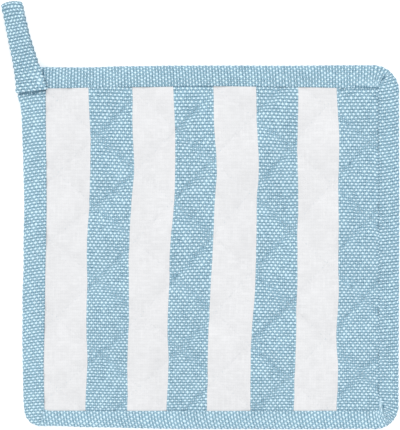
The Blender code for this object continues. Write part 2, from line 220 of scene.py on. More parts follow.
RELIEF_RANGE = 1.1
RELIEF = 0.28  # how deep the gaps between the threads are
STRIP_RELIEF = 0.4  # and in the binding
PAD_BORDER_RINGS = 2
EDGE_SIDE_STEPS = 60  # of the pad's hidden edge and the top stitching
EDGE_CORNER_STEPS = 12

# A seam takes up cloth, so the threads lie closer together from 2.5 mm above it to 5 mm below it
TAKE_UP_START = -2.5
TAKE_UP_LENGTH = 7.5
TAKE_UP_RISING = 0.9
TAKE_UP_FALLING = 0.55
TAKE_UP_WARPS = 0.23
TAKE_UP_MARGIN = 3.0  # inside the binding, where it fades in

# Threads wander by the sum of two waves, each along one way and bent by a wave along the other way
Wave = namedtuple("Wave", "length turn bend cross_length cross_turn")
WAVES = (Wave(13.0, 1.0, 0.9, 17.0, 2.0), Wave(15.0, 2.3, 0.8, 21.0, 1.0))
WEFT_WANDER = 0.5
WARP_WANDER = 0.12
WEFT_WAVES = 0.25  # in the binding

# The hanging loop. Each row is a place down from the fold, how far the tape reaches left and right there, how
# much thicker it is, and how its wefts slope. The front leg's rows start at the end that is turned under.
TAPE_THICK = 1.4
LOOP_FOLD = (-101.8, 114.6)
LOOP_LEAN = math.radians(12.5)
FRONT_LEG = (
    (49.2, 7.5, 8.8, -0.5, 0.085),
    (48.8, 7.9, 9.2, 0.35, 0.085),
    (48.0, 7.9, 9.2, 0.6, 0.085),
    (43.1, 6.95, 8.7, 0.5, 0.07),
    (40.6, 6.8, 8.5, 0.1, 0.06),
    (38.4, 6.5, 8.3, 0.0, 0.04),
    (35.2, 6.4, 7.1, 0.0, 0.02),
    (30.5, 6.1, 6.4, 0.0, 0.02),
    (23.9, 6.05, 5.6, 0.0, 0.01),
    (19.0, 5.9, 5.6, 0.0, 0.0),
    (10.6, 5.75, 5.4, 0.0, 0.0),
    (6.0, 5.6, 5.6, 0.0, 0.02),
)
BACK_LEG = (
    (6.0, 5.6, 5.6, 0.0, 0.02),
    (19.0, 5.6, 5.8, 0.0, 0.0),
    (35.2, 6.0, 7.2, 0.0, 0.0),
    (45.8, 7.2, 8.4, 0.0, 0.0),
    (46.6, 7.0, 8.2, -0.4, 0.0),
)
FOLD_HALF_WIDTH = 5.7
FOLD_SLANT = 0.08
FOLD_BOW = 1.2  # how far the middle of the fold stands out beyond its ends
LEG_DROP = TAPE_THICK + GAP + BINDING_THICK + GAP + TAPE_THICK
TAPE_EDGE_ROUND = 0.45
TAPE_EDGE_TURNS = (45.0, 90.0, 135.0)
# Painted shade over the whole loop and along its edges
TAPE_PAINTED_SHADE = 0.05
TAPE_RIM_SHADE = 0.2
TAPE_RIM_WIDTH = 0.5
TAPE_PRESS = -0.1
TAPE_RELIEF = 0.4
TAPE_BEADS = 0.22  # how far the wefts bulge out over the loop's edges
TAPE_WAVES = 0.15
TAPE_WAVE_SCALE = 2.2
FOLD_REACH = 7.0  # how far down the fold's bow is seen
LOOP_WARPS = 11
TAPE_WEFT_PITCH = 1.67
TAPE_STEPS_PER_WEFT = 4

# The corner of the holder lies on the loop's back leg
LIFT = TAPE_THICK + GAP
LIFT_CENTRE = (-91.0, 73.4)
LIFT_FLAT_RADIUS = 14.0
LIFT_FADE = 34.0

# Sewing
THREAD_RADIUS = 0.09
THREAD_SIDES = 6
STITCH_LENGTH = 2.9
STITCH_GAP = 0.5
STITCH_SHAPE = (  # shares of a stitch's length, its thickness there and its height over the cloth
    (0.0, 0.3, -0.5),
    (0.12, 0.85, -0.26),
    (0.5, 1.0, -0.15),
    (0.88, 0.85, -0.26),
    (1.0, 0.3, -0.5),
)
TOPSTITCH_INSET = 1.5
TOPSTITCH_HEIGHT = 3.62
QUILTING_X = np.arange(-84.0, 98.0, 0.5)
QUILTING_INSET = 0.2  # from the binding's inner edge to the quilting's ends
QUILTING_SHORTEST = 12  # a seam with no more steps than this inside the pad is left out


# ---- shapes
def smooth_step(share):
    """Ease from 0 to 1."""
    share = np.clip(share, 0.0, 1.0)
    return share * share * (3.0 - 2.0 * share)


def smooth_curve(stations, values, x):
    """A smooth curve through the values at rising stations, going straight on past both ends."""
    stations = np.asarray(stations, float)
    values = np.asarray(values, float)
    slopes = np.gradient(values, stations)
    k = np.clip(np.searchsorted(stations, x) - 1, 0, len(stations) - 2)
    width = stations[k + 1] - stations[k]
    share = np.clip((x - stations[k]) / width, 0.0, 1.0)
    square = share * share
    cube = square * share
    curve = (2 * cube - 3 * square + 1) * values[k] + (3 * square - 2 * cube) * values[k + 1]
    curve = curve + (cube - 2 * square + share) * width * slopes[k] + (cube - square) * width * slopes[k + 1]
    before = np.minimum(x - stations[0], 0.0) * slopes[0]
    after = np.maximum(x - stations[-1], 0.0) * slopes[-1]
    return curve + before + after


def bend_curve(bends, along):
    """How far a side stands out at shares of its length."""
    rows = ((0.0, 0.0), *bends, (1.0, 0.0))
    offset = np.zeros_like(along)
    for (start, first), (end, last) in zip(rows, rows[1:]):
        share = smooth_step((along - start) / (end - start))
        offset = np.where((along >= start) & (along <= end), first + (last - first) * share, offset)
    return offset


def side_frame(corners, k):
    """A side's length, its unit direction and its unit normal, which points out of the outline."""
    start, end = corners[k % 4], corners[(k + 1) % 4]
    way = np.array([end.x - start.x, end.y - start.y])
    length = np.linalg.norm(way)
    direction = way / length
    return length, direction, np.array([-direction[1], direction[0]])


def outline(corners, bends, side_steps, corner_steps):
    """An outline with side_steps + corner_steps points for each side and the round corner at its end."""
    points = []
    for k, start in enumerate(corners):
        end = corners[(k + 1) % 4]
        _, direction, normal = side_frame(corners, k)
        _, _, next_normal = side_frame(corners, k + 1)
        first = np.array([start.x, start.y]) + direction * start.radius
        centre = np.array([end.x, end.y]) - (normal + next_normal) * end.radius
        last = centre + normal * end.radius
        along = np.arange(side_steps + 1) / side_steps
        side = first + np.outer(along, last - first) + np.outer(bend_curve(bends[k], along), normal)
        angles = 0.5 * math.pi * np.arange(1, corner_steps) / corner_steps
        arc = np.outer(np.cos(angles), normal) + np.outer(np.sin(angles), next_normal)
        points += [side, centre + end.radius * arc]
    return np.vstack(points)


def binding_rings(side_steps, corner_steps):
    """The binding's inner edge, the unit way outward and the width at each step round it."""
    outer = outline(OUTER_CORNERS, OUTER_BENDS, side_steps, corner_steps)
    inner = outline(INNER_CORNERS, INNER_BENDS, side_steps, corner_steps)
    width = np.linalg.norm(outer - inner, axis=1)
    return inner, (outer - inner) / width[:, None], width


def side_place(k, x, y):
    """How far places lie along a side of the binding's inner edge and out of it, and the side's length."""
    start = INNER_CORNERS[k]
    length, direction, normal = side_frame(INNER_CORNERS, k)
    along = (x - start.x) * direction[0] + (y - start.y) * direction[1]
    return along, (x - start.x) * normal[0] + (y - start.y) * normal[1], length


def side_insets(x, y):
    """How far places lie inside each side of the binding's inner edge."""
    insets = []
    for k, bends in enumerate(INNER_BENDS):
        along, out, length = side_place(k, x, y)
        insets.append(bend_curve(bends, along / length) - out)
    return np.array(insets)


def lengths_along(points):
    """How far each point of a polyline lies along it."""
    return np.concatenate([[0.0], np.cumsum(np.linalg.norm(np.diff(points, axis=0), axis=1))])


def points_along(points, distance):
    """Places on a polyline at distances along it."""
    length = lengths_along(points)
    return np.column_stack([np.interp(distance, length, column) for column in points.T])


def inner_inset(x, y):
    """How far places lie inside the binding's inner edge."""
    return side_insets(x, y).min(axis=0)


def lift_at(x, y):
    """How far the loop's corner is raised."""
    away = np.hypot(x - LIFT_CENTRE[0], y - LIFT_CENTRE[1])
    return LIFT * (1.0 - smooth_step((away - LIFT_FLAT_RADIUS) / LIFT_FADE))


def seam_count(seams, x, y):
    """How many seams lie above each place, with the share of the way to the next one."""
    heights = [smooth_curve(SEAM_X, row, x) for row in seams]
    count = np.zeros(np.shape(x))
    for upper, lower in zip(heights, heights[1:]):
        count += np.clip((upper - y) / (upper - lower), 0.0, 1.0)
    return count


def past_seam(count):
    """How far below the nearest seam a place lies, in mm, square to it, and less than 0 above it."""
    return (count - np.round(count)) * SEAM_SPACING


def crown(count):
    """How high the filling stands between two seams, from 0 on a seam to 1 halfway."""
    return 1.0 - np.abs(2.0 * (count % 1.0) - 1.0) ** CROWN_POWER


def filling_at(x, y):
    """How full the quilting is at places of the flat shape."""
    rise = seam_count(RISING_SEAMS, x, y)
    fall = seam_count(FALLING_SEAMS, x, y)
    puff = 1.0 + PUFF_SPREAD * np.sin(PUFF_TURNS[0] * np.floor(rise) + PUFF_TURNS[1] * np.floor(fall))
    return crown(rise) * crown(fall) * puff


def soft_lower(a, b, blend):
    """The lower of two heights, with a soft turn between them."""
    return 0.5 * (a + b - np.sqrt((a - b) ** 2 + blend * blend))


def pad_top(x, y):
    """The height of the pad's upper side, without the corner's lift."""
    quilted = SEAM_TOP + CROWN_TOP * filling_at(x, y)
    squeezed = np.interp(inner_inset(x, y), SQUEEZE_INSETS, SQUEEZE_TOPS)
    return np.maximum(soft_lower(quilted, squeezed, SQUEEZE_BLEND), PAD_EDGE_TOP - SQUEEZE_BLEND / 2)


def pad_bottom(x, y):
    """The height of the pad's lower side, without the corner's lift."""
    quilted = np.maximum(0.0, SEAM_BOTTOM - CROWN_BOTTOM * filling_at(x, y))
    return np.maximum(quilted, np.interp(inner_inset(x, y), SQUEEZE_BOTTOM_INSETS, SQUEEZE_BOTTOMS))


def near(distance, reach):
    """1 at a distance of 0, falling to 0 about two reaches away."""
    return np.exp(-(distance / reach) ** 2)


def seams_near(x, y, reach):
    """How near places are to a rising and to a falling seam."""
    return [near(past_seam(seam_count(seams, x, y)), reach) for seams in (RISING_SEAMS, FALLING_SEAMS)]


def seam_press(x, y):
    """How far the quilting presses the weave together, from 0 to 1."""
    return np.maximum(*seams_near(x, y, PRESS_REACH))


def pad_painted_shade(x, y):
    """The shade painted on the pad, in the crevice beside the binding and along the quilting seams."""
    sides = zip(EDGE_PAINTED_SHADES, side_insets(x, y))
    beside = sum(crease * near(inset, EDGE_SHADE_WIDTH) for crease, inset in sides)
    rising, falling = seams_near(x, y, SEAM_SHADE_REACH)
    return beside + RISING_SEAM_SHADE * rising + FALLING_SEAM_SHADE * falling


def thread_height(number, crossing, turn):
    """How high the threads of one way stand, from their numbers and those of the threads that they cross."""
    side = 2.0 * (number % 1.0) - 1.0
    over = np.where(np.floor(number) % 2 == 0, turn, -turn)
    return THREAD_WAVE * over * np.sin(math.pi * crossing) + np.sqrt(1.0 - THREAD_ROUND * side**2)


def thread_relief(warp, weft):
    """How high a plain weave stands at places counted in threads: 1 on the threads' tops, 0 in the gaps."""
    high = np.maximum(thread_height(warp, weft, 1.0), thread_height(weft, warp, -1.0))
    return np.clip((high - GAP_LEVEL) / RELIEF_RANGE, 0.0, 1.0)


def wander(x, y, seed):
    """A slow and irregular wave, from -1 to 1, over the flat shape."""
    total = 0.0
    for wave, along, across in zip(WAVES, (x, y), (y, x)):
        bend = wave.bend * np.sin(across / wave.cross_length + wave.cross_turn * seed)
        total = total + np.sin(along / wave.length + wave.turn * seed + bend)
    return total / len(WAVES)


# ---- meshes
def add_object(name, points, faces, material, threads=None):
    """A smooth-shaded mesh object from points in mm, which may know their place in the weave.

    That is a warp number, a weft number, how far the weave is pressed together, and how much shade is painted
    on it, below 0 on pale pressed and worn places."""
    mesh = bpy.data.meshes.new(name)
    mesh.from_pydata((np.reshape(points, (-1, 3)) * MM).tolist(), [], faces)
    mesh.validate()
    mesh.shade_smooth()
    mesh.materials.append(material)
    if threads is not None:
        threads = np.reshape(threads, (-1, 4)).astype(np.float32)
        layer = mesh.attributes.new("thread", "FLOAT_VECTOR", "POINT")
        layer.data.foreach_set("vector", threads[:, :3].ravel())
        layer = mesh.attributes.new("crease", "FLOAT", "POINT")
        layer.data.foreach_set("value", threads[:, 3].copy())
    item = bpy.data.objects.new(name, mesh)
    bpy.context.scene.collection.objects.link(item)
    return item


def grid_faces(rows, columns, close_rows=False, close_columns=False, start=0):
    """Faces of a grid of points that is stored row by row, from the index start."""
    row = np.arange(rows if close_rows else rows - 1)
    column = np.arange(columns if close_columns else columns - 1)
    here, across = np.meshgrid(row, column, indexing="ij")
    top, bottom = here * columns, (here + 1) % rows * columns
    beside = (across + 1) % columns
    corners = [top + across, top + beside, bottom + beside, bottom + across]
    return (np.stack(corners, axis=-1).reshape(-1, 4) + start).tolist()


def tube_faces(rings, around, start=0):
    """Faces of a closed tube, with both its ends, whose points are stored ring by ring."""
    first = [start + k for k in range(around)]
    last = [(rings - 1) * around + index for index in first]
    return grid_faces(rings, around, False, True, start) + [first[::-1], last]


def steps_along(points, axis, closed):
    """The way from each point of a grid to its neighbours, along one axis."""
    if closed:
        return np.roll(points, -1, axis) - np.roll(points, 1, axis)
    return np.gradient(points, axis=axis)


def grid_normals(points, close_rows, close_columns):
    """Unit normals of a grid of 3-D points, on the side that grid_faces shows."""
    normals = np.cross(steps_along(points, 1, close_columns), steps_along(points, 0, close_rows))
    return normals / np.maximum(np.linalg.norm(normals, axis=-1, keepdims=True), TINY)


# ---- materials
class Graph:
    """Adds shader nodes to a material."""

    def __init__(self, material):
        self.tree = material.node_tree

    def new(self, kind):
        return self.tree.nodes.new("ShaderNode" + kind)

    def fill(self, node, sockets):
        """Set a node's sockets, or link those that get another node's output, and give its own outputs."""
        for key, value in sockets.items():
            if isinstance(value, bpy.types.NodeSocket):
                self.tree.links.new(value, node.inputs[key])
            else:
                node.inputs[key].default_value = value
        return node.outputs

    def math(self, operation, first, second=0.0, third=0.0):
        node = self.new("Math")
        node.operation = operation
        return self.fill(node, {0: first, 1: second, 2: third})["Value"]

    def shift(self, total, noise, amount, middle=0.5):
        """A total, moved by an amount for each unit by which noise passes its middle."""
        return self.math("MULTIPLY_ADD", self.math("SUBTRACT", noise, middle), amount, total)

    def vector(self, x, y, z):
        return self.fill(self.new("CombineXYZ"), {"X": x, "Y": y, "Z": z})["Vector"]

    def attribute(self, name):
        node = self.new("Attribute")
        node.attribute_name = name
        return node.outputs

    def noise_at(self, place, scale, detail=2.0):
        return self.fill(self.new("TexNoise"), {"Vector": place, "Scale": scale, "Detail": detail})["Fac"]

    def noise(self, x, y, seed, scale, detail=2.0):
        return self.noise_at(self.vector(x, y, seed), scale, detail)

    def chance(self, x, y, seed):
        """A number from 0 to 1 that is the same all over a whole-numbered place."""
        return self.fill(self.new("TexWhiteNoise"), {"Vector": self.vector(x, y, seed)})["Value"]

    def span(self, value, low, high, to_low=0.0, to_high=1.0):
        """Map low..high to to_low..to_high, eased, and no further."""
        node = self.new("MapRange")
        node.interpolation_type = "SMOOTHSTEP"
        return self.fill(node, {0: value, 1: low, 2: high, 3: to_low, 4: to_high})["Result"]

    def vary(self, noise, to_low, to_high):
        """Map most of a noise's range to to_low..to_high, eased, and no further."""
        return self.span(noise, NOISE_LOW, NOISE_HIGH, to_low, to_high)

    def mix(self, share, first, second, blend="MIX"):
        node = self.new("Mix")
        node.data_type = "RGBA"
        node.blend_type = blend
        return self.fill(node, {"Factor": share, 6: first, 7: second})[2]

    def bump(self, height, distance):
        sockets = {"Strength": BUMP_STRENGTH, "Distance": distance * MM, "Height": height}
        return self.fill(self.new("Bump"), sockets)["Normal"]


# Thread colours. The gap colours are painted shade where the threads dip between one another.
WHITE_THREAD = (0.755, 0.76, 0.775, 1.0)
SHADED_WHITE_GAP = (0.725, 0.73, 0.745, 1.0)
BLUE_CROWN = (0.312, 0.501, 0.614, 1.0)
SHADED_BLUE_GAP = (0.092, 0.198, 0.28, 1.0)
WEFT_IN_BLUE = (0.66, 0.85, 0.95, 1.0)
COTTON_SHEEN = 0.1
COTTON_SHEEN_ROUGHNESS = 0.5
COTTON_SHINE = 0.25
CLOTH_ROUGHNESS = (0.82, 0.95)
CLOTH_BUMP = 0.2
THREAD_ROUGHNESS = (0.55, 0.75)
THREAD_BUMP = 0.05
BUMP_STRENGTH = 0.4
NOISE_LOW = 0.3  # noise mostly lies between these two
NOISE_HIGH = 0.7

# A place in the weave, with its warp and weft counted in threads
WeavePlace = namedtuple("WeavePlace", "warp weft press crease warp_number weft_number")

# How long and wide the threads are where they pass over others, as half lengths and half widths in threads
WeaveLook = namedtuple("WeaveLook", "weft_float narrow_weft wide_weft warp_float")
SOFT_WEAVE = WeaveLook(0.60, 0.33, 0.48, 0.74)
RIBBED_WEAVE = WeaveLook(0.63, 0.325, 0.46, 0.70)
WARP_HALF_WIDTH = 0.95

# How uneven the yarns are. A thread that passes over another is 1 high at its middle.
YARN_SWAY = 0.4  # in threads
SWAY_SCALE = 0.45
SLUB_SCALE = 0.12
SLUB_HIGH = 0.75  # the noise that makes a weft as wide as it gets
LUCK_MIDDLE = 0.55
LUCK_RISE = 0.42  # from one crossing to the next
FUZZ_SCALE = 2.5
WEFT_FUZZ = 1.3
WARP_FUZZ = 1.7
# How far painted shade lowers the threads, so that more of the gaps' shaded colour shows
PAINTED_SHADE_DROP = -0.9
WEFT_PRESS = -0.26
WARP_PRESS = 0.25
WARP_HEIGHTS = (0.0, 1.0)  # over which a warp's own colour comes in over the painted shade of the gaps
WEFT_HEIGHTS = (-0.05, 0.55)
PATCH_TONES = (0.98, 1.02)
WEFT_TONES = (0.97, 1.03)
WEFT_TONE_SCALE = 0.15
WARP_TONES = (0.98, 1.02)
WARP_TONE_SCALE = 0.12
FIBRE_RELIEF = 0.3


def new_material(name):
    """A material with a Principled shader, and its graph."""
    material = bpy.data.materials.new(name)
    material.use_nodes = True
    return material, Graph(material), material.node_tree.nodes["Principled BSDF"]


def stripe_share(graph, warp_number):
    """1 on blue warps and 0 on white ones."""
    total = sum(STRIPE_WARPS)
    ramp = graph.new("ValToRGB")
    ramp.color_ramp.interpolation = "CONSTANT"
    stops = ramp.color_ramp.elements
    place = 0
    for k, warps in enumerate(STRIPE_WARPS):
        stop = stops[k] if k < 2 else stops.new(place / total)
        stop.position = place / total
        shade = float(k % 2)
        stop.color = (shade, shade, shade, 1.0)
        place += warps
    middle = graph.math("ADD", warp_number, 0.5)
    return graph.fill(ramp, {"Fac": graph.math("DIVIDE", middle, total)})["Color"]


def weave_place(graph):
    """Where a point lies in the weave, from the mesh's thread numbers, with yarns that sway a little."""
    split = graph.fill(graph.new("SeparateXYZ"), {"Vector": graph.attribute("thread")["Vector"]})
    warp, weft, press = split
    sway = graph.noise(warp, weft, seed=0.0, scale=SWAY_SCALE)
    drift = graph.noise(weft, warp, seed=5.0, scale=SWAY_SCALE)
    warp = graph.shift(warp, sway, YARN_SWAY)
    weft = graph.shift(weft, drift, YARN_SWAY)
    numbers = graph.math("FLOOR", warp), graph.math("FLOOR", weft)
    return WeavePlace(warp, weft, press, graph.attribute("crease")["Fac"], *numbers)


def float_height(graph, along, crossing, offset, beside, length, width):
    """The height of a thread where it passes over another, 1 at the middle and 0 at the rim."""
    place = graph.math("SUBTRACT", graph.math("ADD", along, offset), crossing)
    from_middle = graph.math("SUBTRACT", graph.math("FLOORED_MODULO", place, 2.0), 1.0)
    side = graph.math("SUBTRACT", graph.math("FRACT", beside), 0.5)
    far = graph.math("POWER", graph.math("DIVIDE", from_middle, length), 2.0)
    wide = graph.math("POWER", graph.math("DIVIDE", side, width), 2.0)
    return graph.math("SUBTRACT", graph.math("SUBTRACT", 1.0, far), wide)


def pressed_height(graph, place, height, press):
    """A thread's height, lowered where shade is painted, and moved where the cloth is pressed."""
    height = graph.math("MULTIPLY_ADD", place.crease, PAINTED_SHADE_DROP, height)
    return graph.math("MULTIPLY_ADD", place.press, press, height)


def weft_height(graph, place, look):
    """The height of the wefts where they pass over the warps. They are uneven, as spun cotton is."""
    along = graph.math("MULTIPLY", place.warp, SLUB_SCALE)
    slubs = graph.noise(along, place.weft_number, seed=3.0, scale=1.0)
    width = graph.span(slubs, NOISE_LOW, SLUB_HIGH, look.narrow_weft, look.wide_weft)
    height = float_height(graph, place.warp, place.weft_number, 0.5, place.weft, look.weft_float, width)
    luck = graph.chance(place.warp_number, place.weft_number, seed=2.0)
    fuzz = graph.noise(place.warp, place.weft, seed=15.0, scale=FUZZ_SCALE)
    height = graph.shift(graph.shift(height, luck, LUCK_RISE, LUCK_MIDDLE), fuzz, WEFT_FUZZ)
    return pressed_height(graph, place, height, WEFT_PRESS)


def warp_height(graph, place, look):
    """The height of the warps where they pass over the wefts, which is least at the holes between threads."""
    length, width = look.warp_float, WARP_HALF_WIDTH
    height = float_height(graph, place.weft, place.warp_number, -0.5, place.warp, length, width)
    fuzz = graph.noise(place.weft, place.warp, seed=25.0, scale=FUZZ_SCALE)
    return pressed_height(graph, place, graph.shift(height, fuzz, WARP_FUZZ), WARP_PRESS)


def weave_colour(graph, place, weft_high, warp_high, striped):
    """White wefts over blue warps, with white warps in the white stripes, and painted shade in the gaps."""
    blue = stripe_share(graph, place.warp_number) if striped else 1.0
    shaded_gap = graph.mix(blue, SHADED_WHITE_GAP, SHADED_BLUE_GAP)
    top = graph.mix(blue, WHITE_THREAD, BLUE_CROWN)
    weft = graph.mix(blue, WHITE_THREAD, WEFT_IN_BLUE)
    colour = graph.mix(graph.span(warp_high, *WARP_HEIGHTS), shaded_gap, top)
    return graph.mix(graph.span(weft_high, *WEFT_HEIGHTS), colour, weft)


def weave_tone(graph, place):
    """How bright the cloth is, from its dye and its yarns."""
    along_weft = graph.math("MULTIPLY", place.warp, WEFT_TONE_SCALE)
    along_warp = graph.math("MULTIPLY", place.weft, WARP_TONE_SCALE)
    patches = graph.noise(place.warp, place.weft, seed=9.0, scale=0.07, detail=3.0)
    wefts = graph.noise(along_weft, place.weft_number, seed=6.0, scale=1.0)
    warps = graph.noise(place.warp_number, along_warp, seed=12.0, scale=1.0)
    tone = graph.math("MULTIPLY", graph.vary(patches, *PATCH_TONES), graph.vary(wefts, *WEFT_TONES))
    tone = graph.math("MULTIPLY", tone, graph.vary(warps, *WARP_TONES))
    return graph.vector(tone, tone, tone)


def weave_material(name, look, striped):
    """Plain weave that follows the mesh's thread numbers, with white stripes if striped."""
    material, graph, shader = new_material(name)
    place = weave_place(graph)
    weft_high = weft_height(graph, place, look)
    warp_high = warp_height(graph, place, look)
    colour = weave_colour(graph, place, weft_high, warp_high, striped)
    high = graph.math("MAXIMUM", graph.math("MAXIMUM", weft_high, warp_high), 0.0)
    fibre = graph.noise(place.warp, place.weft, seed=0.0, scale=9.0, detail=4.0)
    graph.fill(shader, {
        "Base Color": graph.mix(1.0, colour, weave_tone(graph, place), "MULTIPLY"),
        "Roughness": graph.vary(fibre, *CLOTH_ROUGHNESS),
        "Normal": graph.bump(graph.math("MULTIPLY_ADD", fibre, FIBRE_RELIEF, high), CLOTH_BUMP),
        "Sheen Weight": COTTON_SHEEN,
        "Sheen Roughness": COTTON_SHEEN_ROUGHNESS,
        "Specular IOR Level": COTTON_SHINE,
    })
    return material


QUILTING_THREAD = (0.60, 0.68, 0.72, 1.0)
QUILTING_THREAD_SHADE = (0.50, 0.59, 0.64, 1.0)
EDGE_THREAD = (0.40, 0.57, 0.66, 1.0)
EDGE_THREAD_SHADE = (0.30, 0.47, 0.56, 1.0)
TWIST_SCALE = 4000.0  # of the sewing threads' ply
TWIST_SHADES = (0.35, 0.65)  # the noise over which a thread's shade turns into its colour


def thread_material(name, colour, shade):
    """A twisted sewing thread."""
    material, graph, shader = new_material(name)
    twist = graph.noise_at(graph.new("NewGeometry").outputs["Position"], TWIST_SCALE)
    graph.fill(shader, {
        "Base Color": graph.mix(graph.span(twist, *TWIST_SHADES), shade, colour),
        "Roughness": graph.vary(twist, *THREAD_ROUGHNESS),
        "Normal": graph.bump(twist, THREAD_BUMP),
        "Sheen Weight": COTTON_SHEEN,
    })
    return material


# ---- pad
def take_up(count):
    """How far the threads are drawn towards a seam on both its sides, as a share of what it takes up."""
    past = past_seam(count)
    return smooth_step((past - TAKE_UP_START) / TAKE_UP_LENGTH) - 0.5 - past / SEAM_SPACING


def cloth_places(warps, wefts):
    """Where crossings of the striped cloth lie on the flat pad: grids of x and y for thread numbers."""
    edge_warps = np.concatenate([[0], np.cumsum(STRIPE_WARPS)])
    heights, *columns = np.array(STRIPE_EDGES)[::-1].T
    height = PAD_BOTTOM_Y + WEFT_PITCH * wefts + 0.5 * WEFT_GROWTH * wefts * wefts
    edges = np.stack([smooth_curve(heights, column, height) for column in columns])
    x = np.stack([np.interp(warps, edge_warps, row) for row in edges.T])
    y = np.repeat(height[:, None], len(warps), axis=1)
    rising = take_up(seam_count(RISING_SEAMS, x, y))
    falling = take_up(seam_count(FALLING_SEAMS, x, y))
    inside = np.clip(inner_inset(x, y) / TAKE_UP_MARGIN, 0.0, 1.0)
    shift_y = TAKE_UP_RISING * rising + TAKE_UP_FALLING * falling + WEFT_WANDER * wander(x, y, seed=0.7)
    shift_x = TAKE_UP_WARPS * (falling - rising) + WARP_WANDER * wander(y, x, seed=1.9)
    return x + shift_x * inside, y + shift_y * inside


def rim_sides(rows, columns):
    """A grid's indices along each side of its rim, clockwise from above with row 0 at the bottom."""
    index = np.arange(rows * columns).reshape(rows, columns)
    return [index[-1, :-1], index[:0:-1, -1], index[0, :0:-1], index[:-1, 0]]


def edge_side(ring, side, steps):
    """Even steps along an outline from the middle of one round corner towards the middle of the next."""
    count = EDGE_SIDE_STEPS + EDGE_CORNER_STEPS
    first = side * count - EDGE_CORNER_STEPS // 2
    stretch = ring[np.arange(first, first + count + 1) % len(ring)]
    return points_along(stretch, np.arange(steps) / steps * lengths_along(stretch)[-1])


def pad_edge_ring():
    """The pad's edge inside the binding's fold."""
    inner, outward, width = binding_rings(EDGE_SIDE_STEPS, EDGE_CORNER_STEPS)
    return inner + outward * (width - PAD_EDGE_INSET)[:, None]


def pad_border(points, threads, sides, edge_height):
    """A border from the rim of the pad's cloth into the binding's fold.

    Gives all points, their places in the weave, the border's faces and the indices of its last ring."""
    edge_ring = pad_edge_ring()
    target = np.vstack([edge_side(edge_ring, side, len(run)) for side, run in enumerate(sides)])
    rim = ring = np.concatenate(sides)
    faces = []
    for step in range(1, PAD_BORDER_RINGS + 1):
        flat = points[rim, :2] + (target - points[rim, :2]) * (step / PAD_BORDER_RINGS)
        height = edge_height + lift_at(flat[:, 0], flat[:, 1])
        after = len(points) + np.arange(len(rim))
        points = np.vstack([points, np.column_stack([flat, height])])
        threads = np.vstack([threads, threads[rim]])
        faces += np.column_stack([ring, np.roll(ring, -1), np.roll(after, -1), after]).tolist()
        ring = after
    return points, threads, faces, ring


def pad_sheet(steps_per_thread, height_at, edge_height, facing):
    """One side of the pad: a grid over the threads and a border round it.

    Gives the points, their places in the weave, the faces and the indices of the last ring."""
    warps = np.linspace(0, sum(STRIPE_WARPS), sum(STRIPE_WARPS) * steps_per_thread + 1)
    wefts = np.linspace(0, WEFTS, WEFTS * steps_per_thread + 1)
    x, y = cloth_places(warps, wefts)
    warp, weft = np.meshgrid(warps, wefts)
    z = height_at(x, y) + lift_at(x, y)
    if steps_per_thread > 1:
        z = z - facing * RELIEF * (1.0 - thread_relief(warp, weft))
    points = np.dstack([x, y, z]).reshape(-1, 3)
    threads = np.dstack([warp, weft, seam_press(x, y), pad_painted_shade(x, y)]).reshape(-1, 4)
    points, threads, border_faces, ring = pad_border(points, threads, rim_sides(*x.shape), edge_height)
    faces = grid_faces(*x.shape) + border_faces
    if facing < 0:
        faces = [face[::-1] for face in faces]
    return points, threads, faces, ring


def quilted_pad(material):
    """The filled and quilted cloth, front and back, as one closed mesh."""
    top, top_threads, top_faces, top_ring = pad_sheet(STEPS_PER_THREAD, pad_top, PAD_EDGE_TOP, 1)
    low, low_threads, low_faces, low_ring = pad_sheet(1, pad_bottom, PAD_EDGE_BOTTOM, -1)
    low_faces = [[index + len(top) for index in face] for face in low_faces]
    low_ring = low_ring + len(top)
    # Two steps of the upper side meet one step of the lower side
    above = [top_ring[::2], top_ring[1::2], np.roll(top_ring, -2)[::2]]
    walls = np.column_stack([*above, np.roll(low_ring, -1), low_ring]).tolist()
    points = np.vstack([top, low])
    threads = np.vstack([top_threads, low_threads])
    return add_object("pad", points, top_faces + low_faces + walls, material, threads)


# ---- binding
def binding_section():
    """The section's points as nominal places across and heights, their warp numbers, and how many show.

    It runs over the top, which has a point for every half warp, under, and back in the pocket."""
    table = np.array(BINDING_TOP)
    length = lengths_along(table)
    half = length[-1]
    top = np.arange(0.0, half, WARP_PITCH / STEPS_PER_THREAD)
    places = np.concatenate([top, np.linspace(half, 2.0 * half, UNDERSIDE_STEPS + 1)])
    mirrored = np.minimum(places, 2.0 * half - places)
    across, height = [smooth_curve(length, column, mirrored) for column in table.T]
    height = np.minimum(height, BINDING_THICK)
    height = np.where(places > half, BINDING_THICK - height, height)
    pocket = np.concatenate([BINDING_THICK - np.array(POCKET_HEIGHT[::-1]), POCKET_HEIGHT])
    across = np.concatenate([across, POCKET_ACROSS[::-1], POCKET_ACROSS])
    warps = np.concatenate([places, np.full(len(pocket), places[-1])]) / WARP_PITCH
    return across, np.concatenate([height, pocket]), warps, len(places)


def stretched(across, width):
    """Nominal places across the binding, moved so that both its edges keep their shape at this width."""
    start, end = FIXED_INSIDE, BINDING_WIDTH - FIXED_OUTSIDE
    middle = start + (across - start) * (width - BINDING_WIDTH + end - start) / (end - start)
    return np.where(across < start, across, np.where(across > end, across + width - BINDING_WIDTH, middle))


def fan_turn(before):
    """How far the fan has turned the wefts this far past its start, eased in."""
    return FAN_BLEND * np.logaddexp(0.0, before / FAN_BLEND)


def by_mitre(mitre, x, y):
    """Where places are near a mitre."""
    return np.hypot(x - mitre.x0, y - mitre.y0) < MITRE_REACH


